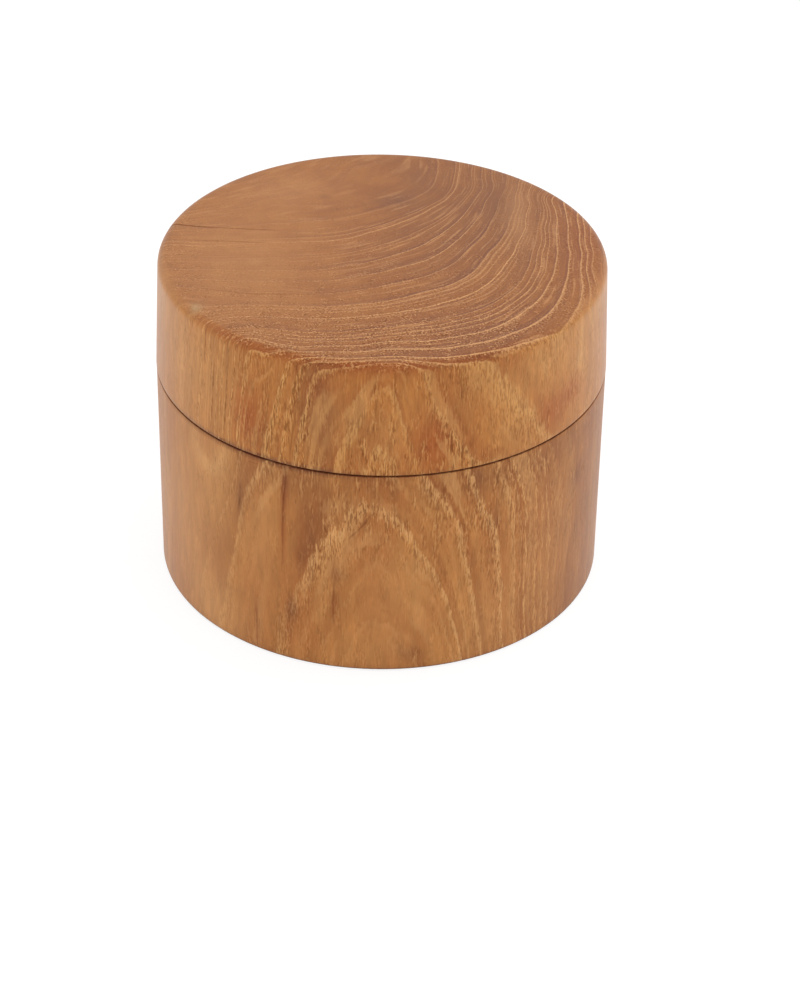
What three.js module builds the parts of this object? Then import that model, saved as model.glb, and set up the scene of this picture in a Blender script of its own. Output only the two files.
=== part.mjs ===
// Turned wooden storage jar with a lift-off lid, in millimetres, +Z up.
// The origin is the centre of the ring that the jar stands on.
// Both pieces are bodies of revolution, each turned from its own block of teak.
// The jar carries a spigot above its shoulder, and the lid's recess slides over that spigot.
import * as THREE from 'three';

// Jar, outside
const bodyRadius = 59.9;
const shoulderHeight = 60.2;
const baseEdgeRounding = 1.0;
const bodySeamRounding = 0.3;

// Jar, underside: a shallow hollow, so that the jar stands on a ring and doesn't rock
const baseHollowDepth = 0.8;
const standingRingWidth = 9;
const baseHollowRounding = 0.6;

// Jar, inside
const wallThickness = 9.9;
const floorThickness = 9;
const floorCove = 9;

// Spigot: the upstanding rim inside the lid
const spigotWall = 4.5;
const spigotHeight = 8;
const spigotRootFillet = 0.5;
const spigotLeadIn = 1.2;
const rimInnerRounding = 0.8;

// Lid, outside
const seamGap = 0.35;
const lidOverhang = 0.1;
const lidHeight = 31.05;
const lidDraft = 1.3;
const lidTopRounding = 2.5;
const lidSeamRounding = 0.3;

// Lid, inside
const lidTopThickness = 11;
const lidCeilingCove = 6;
const recessMouthRounding = 0.6;
const recessStepRounding = 0.8;

// Fit of the lid over the spigot
const recessSideClearance = 0.3;
const recessHeadClearance = 0.5;

// Faces around the axis, and steps in a quarter turn of a large and a small rounding
const facesAround = 96;
const coveSteps = 7;
const edgeSteps = 3;

// Sizes that follow from the ones above
const cavityRadius = bodyRadius - wallThickness;
const spigotRadius = cavityRadius + spigotWall;
const rimHeight = shoulderHeight + spigotHeight;
const floorHeight = baseHollowDepth + floorThickness;
const baseHollowRadius = bodyRadius - baseEdgeRounding - standingRingWidth;
const recessRadius = spigotRadius + recessSideClearance;
const recessStepHeight = rimHeight + recessHeadClearance;
const lidMouthHeight = shoulderHeight + seamGap;
const lidMouthRadius = bodyRadius + lidOverhang;
const lidTopHeight = lidMouthHeight + lidHeight;
const lidTopRadius = lidMouthRadius - lidDraft;
const lidCeilingHeight = lidTopHeight - lidTopThickness;

const teakSide = new THREE.MeshStandardMaterial({ color: 0xb17d51, roughness: 0.5, metalness: 0 });
const teakLid = new THREE.MeshStandardMaterial({ color: 0xac7852, roughness: 0.5, metalness: 0 });

// A corner of a turned outline: its radius from the axis, its height and how far it is rounded.
function corner(radius, height, rounding = 0, steps = edgeSteps) {
  return { at: new THREE.Vector2(radius, height), rounding, steps };
}

// The arc that rounds one corner, tangent to the lines that come in from `before` and go out to `after`.
function roundedCorner(before, { at, rounding, steps }, after) {
  if (rounding === 0) {
    return [at.clone()];
  }
  const inward = before.clone().sub(at).normalize();
  const outward = after.clone().sub(at).normalize();
  const halfAngle = Math.acos(inward.dot(outward)) / 2;
  const reach = rounding / Math.tan(halfAngle);
  const toCentre = inward.clone().add(outward).normalize();
  const centre = at.clone().addScaledVector(toCentre, rounding / Math.sin(halfAngle));
  const start = at.clone().addScaledVector(inward, reach).sub(centre);
  const end = at.clone().addScaledVector(outward, reach).sub(centre);
  const sweep = Math.atan2(start.cross(end), start.dot(end));
  const points = [];
  for (let step = 0; step <= steps; step += 1) {
    const turn = (sweep * step) / steps;
    points.push(start.clone().rotateAround(new THREE.Vector2(), turn).add(centre));
  }
  return points;
}

// Turns an outline about the vertical axis. The outline starts and ends on that axis.
function turned(corners) {
  const outline = corners.flatMap((here, index) => {
    const before = corners[index - 1];
    const after = corners[index + 1];
    return before && after ? roundedCorner(before.at, here, after.at) : [here.at.clone()];
  });
  const geometry = new THREE.LatheGeometry(outline, facesAround);
  geometry.rotateX(Math.PI / 2);
  return geometry;
}

// The jar, from the middle of its underside, up the outside, over the spigot and down to the floor.
function jarBodyOutline() {
  return [
    corner(0, baseHollowDepth),
    corner(baseHollowRadius, baseHollowDepth, baseHollowRounding),
    corner(baseHollowRadius + baseHollowDepth, 0),
    corner(bodyRadius, 0, baseEdgeRounding),
    corner(bodyRadius, shoulderHeight, bodySeamRounding),
    corner(spigotRadius, shoulderHeight, spigotRootFillet),
    corner(spigotRadius, rimHeight, spigotLeadIn),
    corner(cavityRadius, rimHeight, rimInnerRounding),
    corner(cavityRadius, floorHeight, floorCove, coveSteps),
    corner(0, floorHeight),
  ];
}

// The lid, from the middle of its ceiling, down the hollow and the recess, round the mouth and up the outside.
function lidOutline() {
  return [
    corner(0, lidCeilingHeight),
    corner(cavityRadius, lidCeilingHeight, lidCeilingCove, coveSteps),
    corner(cavityRadius, recessStepHeight, recessStepRounding),
    corner(recessRadius, recessStepHeight),
    corner(recessRadius, lidMouthHeight, recessMouthRounding),
    corner(lidMouthRadius, lidMouthHeight, lidSeamRounding),
    corner(lidTopRadius, lidTopHeight, lidTopRounding, coveSteps),
    corner(0, lidTopHeight),
  ];
}

function makeJarBody() {
  const mesh = new THREE.Mesh(turned(jarBodyOutline()), teakSide);
  mesh.name = 'jar_body';
  return mesh;
}

function makeLid() {
  const mesh = new THREE.Mesh(turned(lidOutline()), teakLid);
  mesh.name = 'lid';
  return mesh;
}

const jar = new THREE.Group();
jar.name = 'storage_jar';
jar.add(makeJarBody());
jar.add(makeLid());

export default jar;
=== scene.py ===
"""Looks of a turned teak storage jar with a lift-off lid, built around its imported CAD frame."""

import sys

import logging
import math
from dataclasses import dataclass
from enum import Enum

import bpy
import numpy as np
from bpy.types import (
    Material, Node, NodeOutputs, NodeSocket, NodeTree, Object, bpy_prop_collection)
from mathutils import Matrix, Vector


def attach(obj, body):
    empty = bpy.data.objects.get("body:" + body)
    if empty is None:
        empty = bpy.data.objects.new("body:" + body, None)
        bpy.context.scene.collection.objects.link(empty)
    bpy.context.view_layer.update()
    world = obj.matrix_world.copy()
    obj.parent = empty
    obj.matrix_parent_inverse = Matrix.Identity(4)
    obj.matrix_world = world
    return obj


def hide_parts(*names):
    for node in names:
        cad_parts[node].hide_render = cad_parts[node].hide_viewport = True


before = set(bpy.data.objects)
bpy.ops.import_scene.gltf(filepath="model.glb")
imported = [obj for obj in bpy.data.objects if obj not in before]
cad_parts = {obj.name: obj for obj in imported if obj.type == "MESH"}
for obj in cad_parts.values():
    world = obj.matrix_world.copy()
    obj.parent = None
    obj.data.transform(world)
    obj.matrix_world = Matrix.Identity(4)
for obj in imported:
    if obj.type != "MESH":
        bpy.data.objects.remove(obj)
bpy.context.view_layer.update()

LOG = logging.getLogger("storage_jar")
MM = 0.001

Array = np.ndarray
Value = float | tuple | NodeSocket
Colour = tuple[float, float, float, float]
Pair = tuple[float, float]


def tone(red: int, green: int, blue: int) -> Colour:
    """Turns a colour as a screen shows it into the linear values that shaders use.

    Args:
        red: Red from 0 to 255.
        green: Green from 0 to 255.
        blue: Blue from 0 to 255.

    Returns:
        The linear colour with an alpha of 1.
    """
    seen = [channel / 255 for channel in (red, green, blue)]
    linear = [c / 12.92 if c <= 0.04045 else ((c + 0.055) / 1.055) ** 2.4 for c in seen]
    return (*linear, 1.0)


def tones(*seen: tuple[int, int, int]) -> tuple[Colour, ...]:
    """Several colours as a screen shows them, as linear values."""
    return tuple(tone(*colour) for colour in seen)


def read_rows(elements: bpy_prop_collection, name: str, width: int, kind: type) -> Array:
    """Reads one property of all a mesh's points or edges.

    Args:
        elements: The points or edges.
        name: The property.
        width: How many numbers it has.
        kind: What they are.

    Returns:
        One row for each point or edge.
    """
    flat = np.zeros(len(elements) * width, dtype=kind)
    elements.foreach_get(name, flat)
    return flat.reshape(-1, width)


# Turning

class Element(Enum):
    """What is selected on a mesh."""

    EDGE = "EDGE"
    FACE = "FACE"


class Turning:
    """A round piece in edit mode, shaped on its axis as on a lathe. Sizes are in millimetres."""

    FACES_AROUND = 360
    RADIUS_SLACK = 0.06
    HEIGHT_SLACK = 0.02
    WALL_SLACK = 0.95
    TURN_SLACK = 0.001
    DOUBLES = 0.01
    SMOOTH_UNDER = 40

    def __init__(self, name: str, radius: float, low: float, high: float) -> None:
        """Adds the solid blank that the piece is turned from.

        Args:
            name: Name of the piece.
            radius: Radius of the blank.
            low: Height of its underside.
            high: Height of its upper face.
        """
        bpy.ops.object.select_all(action="DESELECT")
        bpy.ops.mesh.primitive_cylinder_add(
            vertices=self.FACES_AROUND, radius=radius * MM, depth=(high - low) * MM,
            end_fill_type="NGON", location=(0, 0, (high + low) / 2 * MM))
        self.piece = bpy.context.object
        self.piece.name = name
        self.piece.data.name = name
        bpy.ops.object.transform_apply()
        bpy.ops.object.mode_set(mode="EDIT")

    def _select(self, kind: Element, chosen: Array) -> None:
        """Selects the given edges or faces and nothing else.

        Args:
            kind: What is selected.
            chosen: True for each one that is selected.
        """
        mesh = self.piece.data
        bpy.ops.mesh.select_mode(type=kind.value)
        bpy.ops.mesh.select_all(action="DESELECT")
        bpy.ops.object.mode_set(mode="OBJECT")
        elements = mesh.edges if kind is Element.EDGE else mesh.polygons
        elements.foreach_set("select", chosen)
        bpy.ops.object.mode_set(mode="EDIT")

    def _outline(self) -> tuple[Array, Array]:
        """Reads the piece's shape.

        Returns:
            The points in millimetres, and the two point numbers of each edge.
        """
        self.piece.update_from_editmode()
        mesh = self.piece.data
        return (read_rows(mesh.vertices, "co", 3, float) / MM,
                read_rows(mesh.edges, "vertices", 2, np.int64))

    def face_at(self, height: float, upward: bool) -> None:
        """Selects the flat round face at one height.

        Args:
            height: Height of the face.
            upward: True for a face that looks up.
        """
        self.piece.update_from_editmode()
        self._select(Element.FACE, np.array([
            len(face.vertices) == self.FACES_AROUND
            and abs(face.center.z / MM - height) < self.HEIGHT_SLACK
            and (face.normal.z > 0) == upward
            for face in self.piece.data.polygons]))

    def narrow(self, width: float) -> None:
        """Insets the selected round face by a width."""
        bpy.ops.mesh.inset(thickness=width * MM, depth=0)

    def step(self, width: float, rise: float, factor: float = 1.0) -> None:
        """Insets the selected round face and extrudes it along the axis.

        Args:
            width: How far it is inset.
            rise: How far it moves up, negative for down.
            factor: How much it is scaled across the axis after that.
        """
        self.narrow(width)
        bpy.ops.mesh.extrude_region_move(TRANSFORM_OT_translate={"value": (0, 0, rise * MM)})
        if factor != 1.0:
            bpy.ops.transform.resize(value=(factor, factor, 1))

    def round_off(self, radius: float, height: float, rounding: float, steps: int) -> None:
        """Rounds a circular edge.

        Args:
            radius: Radius of the edge from the axis.
            height: Height of the edge.
            rounding: Radius of the rounding.
            steps: Number of facets in it.
        """
        points, ends = self._outline()
        near = (np.abs(np.hypot(points[:, 0], points[:, 1]) - radius) < self.RADIUS_SLACK) & (
            np.abs(points[:, 2] - height) < self.HEIGHT_SLACK)
        self._select(Element.EDGE, near[ends].all(axis=1))
        bpy.ops.mesh.bevel(offset=rounding * MM, segments=steps, profile=0.5, affect="EDGES",
                           offset_type="OFFSET", clamp_overlap=False)

    def ring_wall(self, radius: float, pitch: float) -> None:
        """Divides the long upright edges of a wall into rings.

        Args:
            radius: Mean radius of the wall.
            pitch: Greatest height of a ring.
        """
        points, ends = self._outline()
        first, last = ends.T
        arm = points[:, 0] + 1j * points[:, 1]
        near = np.abs(np.abs(arm) - radius) < self.WALL_SLACK
        turn = np.abs(np.angle(arm[first] * arm[last].conj()))
        rise = np.abs(points[first, 2] - points[last, 2])
        chosen = near[first] & near[last] & (rise > 2 * pitch) & (turn < self.TURN_SLACK)
        self._select(Element.EDGE, chosen)
        cuts = max(1, round(float(rise[chosen].max()) / pitch) - 1)
        bpy.ops.mesh.subdivide(number_cuts=cuts)

    def ring_disc(self, height: float, upward: bool, radius: float, pitch: float) -> None:
        """Divides a flat round face into rings down to its middle.

        Args:
            height: Height of the face.
            upward: True for a face that looks up.
            radius: Radius of the face.
            pitch: Width of a ring.
        """
        self.face_at(height, upward)
        for _ in range(int(radius / pitch) - 1):
            self.narrow(pitch)
        bpy.ops.mesh.poke()

    def finish(self) -> Object:
        """Leaves edit mode and shades the piece smoothly.

        Returns:
            The finished piece.
        """
        bpy.ops.mesh.select_all(action="SELECT")
        bpy.ops.mesh.remove_doubles(threshold=self.DOUBLES * MM)
        bpy.ops.mesh.normals_make_consistent(inside=False)
        bpy.ops.object.mode_set(mode="OBJECT")
        bpy.ops.object.shade_smooth_by_angle(angle=math.radians(self.SMOOTH_UNDER))
        return self.piece


# Grain

class Face(Enum):
    """The surface that a mark is read on, as x and y or as degrees from the front and height."""

    TOP = "top"
    WALL = "wall"


TOP, WALL = Face.TOP, Face.WALL


@dataclass(frozen=True)
class GrainLine:
    """The line of one age of the wood on the surface."""

    age: float
    face: Face
    points: tuple[Pair, ...]


@dataclass(frozen=True)
class CrackAndShadeLine:
    """A hairline crack along the grain, or a ring of painted shade in the seam or at the foot."""

    depth: float
    face: Face
    points: tuple[Pair, ...]


@dataclass(frozen=True)
class Patch:
    """A soft patch of another colour: its place, its spread each way and how strong it is."""

    face: Face
    place: Pair
    spread: Pair
    dark: float = 0.0
    red: float = 0.0
    pale: float = 0.0
    putty: float = 0.0


@dataclass(frozen=True)
class Lull:
    """A soft area where rings or flecks show less, or more where a strength is negative."""

    face: Face
    place: Pair
    spread: Pair
    rings: float = 0.0
    flecks: float = 0.0


@dataclass(frozen=True)
class Ring:
    """One growth ring: its age, its pale start line's strength and width, and its late wood."""

    age: float
    pale: float
    width: float
    late: float


def traced(kind: type, face: Face, *rows: tuple) -> tuple:
    """Grain lines or crack and shade lines on one face, each row an age or a depth and then the
    points.
    """
    return tuple(kind(row[0], face, row[1:]) for row in rows)


def soft(kind: type, face: Face, *rows: tuple[float, ...]) -> tuple:
    """Patches or lulls on one face, each row a place, a spread and then the strengths."""
    return tuple(kind(face, row[:2], row[2:4], *row[4:]) for row in rows)


def counted(*rows: tuple[float, float, float, float]) -> tuple[Ring, ...]:
    """Growth rings in order of age."""
    return tuple(Ring(*row) for row in rows)


@dataclass(frozen=True)
class Surface:
    """The outer surface of a turned piece, where its figure is read."""

    top: float
    top_radius: float
    foot: float
    foot_radius: float

    def radius(self, height: float | Array) -> float | Array:
        """Radius of the wall at a height."""
        share = (height - self.foot) / (self.top - self.foot)
        return self.foot_radius + (self.top_radius - self.foot_radius) * share

    def place(self, face: Face, pair: Pair) -> tuple[float, float, float]:
        """Puts a point that was read on a face into space.

        Args:
            face: The face that it was read on.
            pair: Its x and y, or its degrees from the front and its height.

        Returns:
            The point in millimetres.
        """
        if face is TOP:
            return (*pair, self.top)
        turn, radius = math.radians(pair[0]), self.radius(pair[1])
        return (radius * math.sin(turn), -radius * math.cos(turn), pair[1])

    def flat(self, face: Face, pair: Pair) -> Array:
        """Puts a point that was read on a face on that face laid flat, in millimetres."""
        arc = math.radians(pair[0]) * self.foot_radius
        return np.array([pair[0] if face is TOP else arc, pair[1]])

    def unroll(self, face: Face, points: Array) -> tuple[Array, Array]:
        """Lays the points of a piece flat as one of its faces sees them.

        Args:
            face: The face.
            points: Points in millimetres.

        Returns:
            Where they are on the flat face, and how deep they lie under it.
        """
        if face is TOP:
            return points[:, :2], self.top - points[:, 2]
        arc = np.arctan2(points[:, 0], -points[:, 1]) * self.foot_radius
        depth = self.radius(points[:, 2]) - np.hypot(points[:, 0], points[:, 1])
        return np.stack([arc, points[:, 2]], axis=1), depth


class GrowthField:
    """The age of the wood all through a block, as a smooth field through known points."""

    ROUNDNESS = 3.0
    GRAIN_STRETCH = 0.45
    SLACK = 0.6
    CHUNK = 20000
    TREND = 4

    def __init__(self, points: list[tuple[float, float, float]], ages: list[float]) -> None:
        """Fits the field.

        Args:
            points: Points in millimetres.
            ages: The age of the wood at each.
        """
        self.squeeze = np.array([1.0, 1.0, self.GRAIN_STRETCH])
        self.knots = np.array(points) * self.squeeze
        count = len(self.knots)
        near = self._pull(self.knots) - self.SLACK * np.eye(count)
        trend = np.hstack([np.ones((count, 1)), self.knots])
        system = np.block([[near, trend], [trend.T, np.zeros((self.TREND, self.TREND))]])
        self.weights = np.linalg.solve(system, np.concatenate([ages, np.zeros(self.TREND)]))

    def _pull(self, places: Array) -> Array:
        """Pull of each knot on each place."""
        gaps = ((places[:, None] - self.knots[None]) ** 2).sum(axis=-1)
        return np.sqrt(gaps + self.ROUNDNESS ** 2)

    def age(self, points: Array) -> Array:
        """Age of the wood at points in millimetres.

        Args:
            points: The points.

        Returns:
            One age for each.
        """
        places = points * self.squeeze
        pulls, level, slopes = np.split(self.weights, [-self.TREND, 1 - self.TREND])
        chunks = [places[start:start + self.CHUNK] for start in range(0, len(places), self.CHUNK)]
        return np.concatenate([self._pull(some) @ pulls + level + some @ slopes
                               for some in chunks])


@dataclass(frozen=True)
class Block:
    """One block of teak as it was read from its turned surface."""

    surface: Surface
    lines: tuple[GrainLine, ...]
    rings: tuple[Ring, ...]
    patches: tuple[Patch, ...]
    crack_and_shade_lines: tuple[CrackAndShadeLine, ...]
    lulls: tuple[Lull, ...]

    PATCH_SKIN = {TOP: 1.2, WALL: 2.0}
    CRACK_AND_SHADE_SKIN = {TOP: 1.5, WALL: 2.0}
    SKIN_SOFTNESS = 0.3
    FAR = 9.0
    CRACK_AND_SHADE_REACH = 3.0
    CRACK_AND_SHADE_TAPER = 0.2
    CRACK_AND_SHADE_LEAST = 0.15
    END_GRAIN = (2.0, -0.2)

    def _soft(self, mark: Patch | Lull, points: Array) -> Array:
        """Strength of a soft patch at each point, from 0 to 1.

        Args:
            mark: The patch or lull.
            points: Points in millimetres.

        Returns:
            One strength for each point.
        """
        flat, depth = self.surface.unroll(mark.face, points)
        gap = flat - self.surface.flat(mark.face, mark.place)
        half_turn = math.pi * self.surface.foot_radius
        gap[:, 0] = (gap[:, 0] + half_turn) % (2 * half_turn) - half_turn
        edge = (depth - self.PATCH_SKIN[mark.face]) / self.SKIN_SOFTNESS
        return np.exp(-((gap / mark.spread) ** 2).sum(axis=1) / 2) / (1 + np.exp(edge))

    def _crack_and_shade_lines(self, points: Array) -> tuple[Array, Array]:
        """Finds the nearest crack or painted shade line to each point.

        Args:
            points: Points in millimetres.

        Returns:
            The signed distance beside the line, and the line's depth there.
        """
        beside, nearest = np.full((2, len(points)), self.FAR)
        depth = np.zeros(len(points))
        for crack_and_shade_line in self.crack_and_shade_lines:
            flat, under = self.surface.unroll(crack_and_shade_line.face, points)
            on_face = under < self.CRACK_AND_SHADE_SKIN[crack_and_shade_line.face]
            path = np.array([self.surface.flat(crack_and_shade_line.face, pair) for pair in crack_and_shade_line.points])
            runs = np.diff(path, axis=0)
            lengths = np.linalg.norm(runs, axis=1)
            before = np.cumsum(lengths) - lengths
            for start, run, length, passed in zip(path, runs, lengths, before):
                share = np.clip((flat - start) @ run / length ** 2, 0, 1)
                gap = flat - start - share[:, None] * run
                away = np.hypot(gap[:, 0], gap[:, 1])
                side = np.sign(run[0] * gap[:, 1] - run[1] * gap[:, 0])
                along = (passed + share * length) / lengths.sum()
                fade = np.minimum(along, 1 - along) / self.CRACK_AND_SHADE_TAPER + self.CRACK_AND_SHADE_LEAST
                closer = on_face & (away < nearest)
                nearest = np.where(closer, away, nearest)
                beside = np.where(closer, away * side, beside)
                depth = np.where(closer, crack_and_shade_line.depth * np.minimum(1, fade), depth)
        return beside, depth * (nearest < self.CRACK_AND_SHADE_REACH)

    def mark(self, piece: Object) -> None:
        """Writes grain, patches, cracks and painted shade lines on the points as named attributes.

        Args:
            piece: The finished turned piece, at the origin.
        """
        points = read_rows(piece.data.vertices, "co", 3, float) / MM
        facing = read_rows(piece.data.vertices, "normal", 3, float)
        known = [(self.surface.place(line.face, pair), line.age)
                 for line in self.lines for pair in line.points]
        written = {"growth": GrowthField(*zip(*known)).age(points),
                   "end_grain": np.clip(np.polyval(self.END_GRAIN, facing[:, 2] ** 2), 0, 1)}
        stains = [(patch, self._soft(patch, points)) for patch in self.patches]
        for kind in ("dark", "red", "pale", "putty"):
            written[kind + "_patch"] = sum(getattr(patch, kind) * here for patch, here in stains)
        calms = [(lull, self._soft(lull, points)) for lull in self.lulls]
        written["ring_strength"] = math.prod(1 - lull.rings * here for lull, here in calms)
        written["fleck_strength"] = math.prod(1 - lull.flecks * here for lull, here in calms)
        written["crack_and_shade_side"], written["crack_and_shade_depth"] = self._crack_and_shade_lines(points)
        for name, values in written.items():
            layer = piece.data.attributes.new(name, "FLOAT", "POINT")
            layer.data.foreach_set("value", values.astype(np.float32))


# Node trees

class Tree:
    """Writes the nodes of a material, a shader group or the world."""

    def __init__(self, tree: NodeTree) -> None:
        """Empties the tree that nodes are added to."""
        self.tree = tree
        tree.nodes.clear()

    def feed(self, socket: NodeSocket, value: Value) -> None:
        """Links a socket to another one, or sets its value.

        Args:
            socket: The socket.
            value: The other socket, or the value.
        """
        if isinstance(value, NodeSocket):
            self.tree.links.new(value, socket)
        else:
            socket.default_value = value

    def node(self, kind: str, *values: Value, **settings: object) -> Node:
        """Adds a node.

        Args:
            kind: The node's type without its Shader prefix.
            *values: What its first sockets get.
            **settings: Properties to set on it.

        Returns:
            The node.
        """
        added = self.tree.nodes.new(kind if kind.startswith("Node") else "ShaderNode" + kind)
        for name, value in settings.items():
            setattr(added, name, value)
        for socket, value in zip(added.inputs, values):
            self.feed(socket, value)
        return added

    def named(self, added: Node, values: dict[str, Value]) -> NodeOutputs:
        """Feeds a node's sockets by their names.

        Args:
            added: The node.
            values: What each socket gets.

        Returns:
            The node's outputs.
        """
        for name, value in values.items():
            self.feed(added.inputs[name], value)
        return added.outputs

    def math(self, operation: str, *values: Value, clamp: bool = False) -> NodeSocket:
        """The result of a Math node, clamped from 0 to 1 if asked."""
        return self.node("Math", *values, operation=operation, use_clamp=clamp).outputs[0]

    def vector(self, operation: str, *values: Value) -> NodeSocket:
        """The result of a Vector Math node."""
        return self.node("VectorMath", *values, operation=operation).outputs[0]

    def times(self, first: Value, second: Value, clamp: bool = False) -> NodeSocket:
        """The product of two values."""
        return self.math("MULTIPLY", first, second, clamp=clamp)

    def line(self, value: Value, slope: Value, start: Value) -> NodeSocket:
        """A value times a slope, plus a start."""
        return self.math("MULTIPLY_ADD", value, slope, start)

    def blend(self, share: Value, first: float, second: float) -> NodeSocket:
        """A number that goes from the first to the second one with the share."""
        return self.line(share, second - first, first)

    def span(self, value: Value, *ends: Value) -> NodeSocket:
        """A value moved smoothly from the first two ends to the last two, or to 0 and 1."""
        return self.node("MapRange", value, *ends, interpolation_type="SMOOTHSTEP").outputs[0]

    def mix(self, share: Value, first: Value, second: Value) -> NodeSocket:
        """Mixes two colours.

        Args:
            share: Share of the second one.
            first: The first colour.
            second: The second colour.

        Returns:
            The mixed colour.
        """
        added = self.node("Mix", share, data_type="RGBA")
        for name, value in (("A_Color", first), ("B_Color", second)):
            self.feed(next(s for s in added.inputs if s.identifier == name), value)
        return next(s for s in added.outputs if s.identifier == "Result_Color")

    def cells(self, place: Value, across: float, along: float) -> NodeSocket:
        """A place divided by the size of a cell across and along the grain."""
        return self.vector("MULTIPLY", place, (1 / across, 1 / across, 1 / along))

    def noise(self, place: Value, detail: float = 1.0, roughness: float = 0.5) -> NodeSocket:
        """A noise of one cell per unit, from 0 to 1 about 0.5."""
        sockets = {"Vector": place, "Scale": 1.0, "Detail": detail, "Roughness": roughness}
        return self.named(self.node("TexNoise", noise_dimensions="3D"), sockets)["Fac"]

    def centred(self, noise: NodeSocket) -> NodeSocket:
        """A noise moved down so that it lies about 0."""
        return self.math("SUBTRACT", noise, 0.5)

    def attribute(self, name: str) -> NodeSocket:
        """A number that is stored on the piece's points."""
        return self.node("Attribute", attribute_name=name).outputs["Fac"]

    def group(self, tree: NodeTree, **values: Value) -> NodeOutputs:
        """The outputs of a shader group. Its inputs are given with _ for a space."""
        sockets = {name.replace("_", " "): value for name, value in values.items()}
        return self.named(self.node("Group", node_tree=tree), sockets)

    def shown(self) -> NodeSocket:
        """Mask of the rays that show the background: camera, glossy and transmitted ones.

        Returns:
            The mask.
        """
        path = self.node("LightPath").outputs
        seen = self.math("MAXIMUM", path["Is Camera Ray"], path["Is Glossy Ray"])
        return self.math("MAXIMUM", seen, path["Is Transmission Ray"])

    def finish(self, shader: str, output: str, sockets: dict[str, Value]) -> None:
        """Adds a shader with its sockets fed, and the output that it goes to."""
        self.node(output, self.named(self.node(shader), sockets)[0])


class Recipe:
    """A shader group with named inputs and outputs, built once and placed in a material."""

    def __init__(self, name: str, inputs: tuple[str, ...], outputs: tuple[str, ...]) -> None:
        """Makes the empty group.

        Args:
            name: Name of the group.
            inputs: Names of its inputs. Place is a vector, and the others are numbers.
            outputs: Names of its outputs, which are numbers.
        """
        self.tree = bpy.data.node_groups.new(name, "ShaderNodeTree")
        for side, labels in (("INPUT", inputs), ("OUTPUT", outputs)):
            for label in labels:
                kind = "NodeSocketVector" if label == "Place" else "NodeSocketFloat"
                self.tree.interface.new_socket(label, in_out=side, socket_type=kind)
        self.add = Tree(self.tree)
        self.given = self.add.node("NodeGroupInput").outputs

    def done(self, *results: NodeSocket) -> NodeTree:
        """Sends the results out in the order of the outputs and returns the group."""
        self.add.node("NodeGroupOutput", *results)
        return self.tree


# Cells of the noises in millimetres, across and along the grain
FEATHER_CELL = (0.7, 4.5)
SWAY_CELL = (6.0, 34.0)
BREAK_CELL = (0.9, 3.4)
SIDE_CELL = (0.36, 1.7)
END_CELL = (0.45, 2.5)
NEEDLE_CELL = (0.45, 4.0)
CLUSTER_CELL = (2.2, 8.0)
PORE_CELL = (1.0, 7.5)
SLOW_CELL = (11.0, 46.0)
MOTTLE_CELL = (2.4, 9.0)
SPECK_CELL = (0.3, 3.0)
# Streaks for each millimetre of age and across it, and where the wisps' noise is read
STREAKS = 1.9
STREAK_BEND = 0.05
WISP_SCALE = (0.62, 1.5, 1.5)
WISP_START = (31.0, 7.0, 3.0)
# Values of a noise between which a mark fades in
BREAK_EDGE = (0.38, 0.55)
CLUSTER_EDGE = (0.45, 0.65)
DARK_FLECK_EDGE = (0.46, 0.35)
PALE_FLECK_EDGE = (0.55, 0.66)
DARK_NEEDLE_EDGE = (0.36, 0.29)
PALE_NEEDLE_EDGE = (0.64, 0.71)
WISP_EDGE = (0.56, 0.68)
# Share of the feathers that is left, and of a line at a break, on the wall and on end grain
FEATHER_SHARE = (1.0, 0.5)
BREAK_SHARE = (0.2, 0.65)
# Least and greatest strengths
CLUSTER_STRENGTH = (0.1, 0.6)
NEEDLE_STRENGTH = (0.1, 1.0)
# How much larger the largest pores are, in late and early wood, than the smallest, in cells
PORE_SIZE = (0.08, 0.22)
SMALLEST_PORE = 0.02
# Distances from a pore's middle between which it fades in, in sizes of the pore
PORE_EDGE = (1.5, 0.7)


@dataclass(frozen=True)
class Recipes:
    """The shader groups that both finishes share."""

    wander: NodeTree
    vessels: NodeTree
    streaks: NodeTree
    speckle: NodeTree


def wander_recipe() -> NodeTree:
    """Group that lets the rings wander a little, in long feathers along the grain.

    Returns:
        The group.
    """
    recipe = Recipe("Ring wander", ("Place", "Age", "End grain", "Feather", "Sway"),
                    ("Age", "Broken"))
    add, place, end = recipe.add, recipe.given["Place"], recipe.given["End grain"]
    feather = add.noise(add.cells(place, *FEATHER_CELL), detail=2.0, roughness=0.7)
    sway = add.noise(add.cells(place, *SWAY_CELL))
    reach = add.times(add.span(end, 0.0, 1.0, *FEATHER_SHARE), recipe.given["Feather"])
    moved = add.line(add.centred(feather), reach, recipe.given["Age"])
    moved = add.line(add.centred(sway), recipe.given["Sway"], moved)
    broken = add.noise(add.cells(place, *BREAK_CELL), detail=2.0, roughness=0.6)
    least = add.span(end, 0.0, 1.0, *BREAK_SHARE)
    return recipe.done(moved, add.span(broken, *BREAK_EDGE, least, 1.0))


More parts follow.
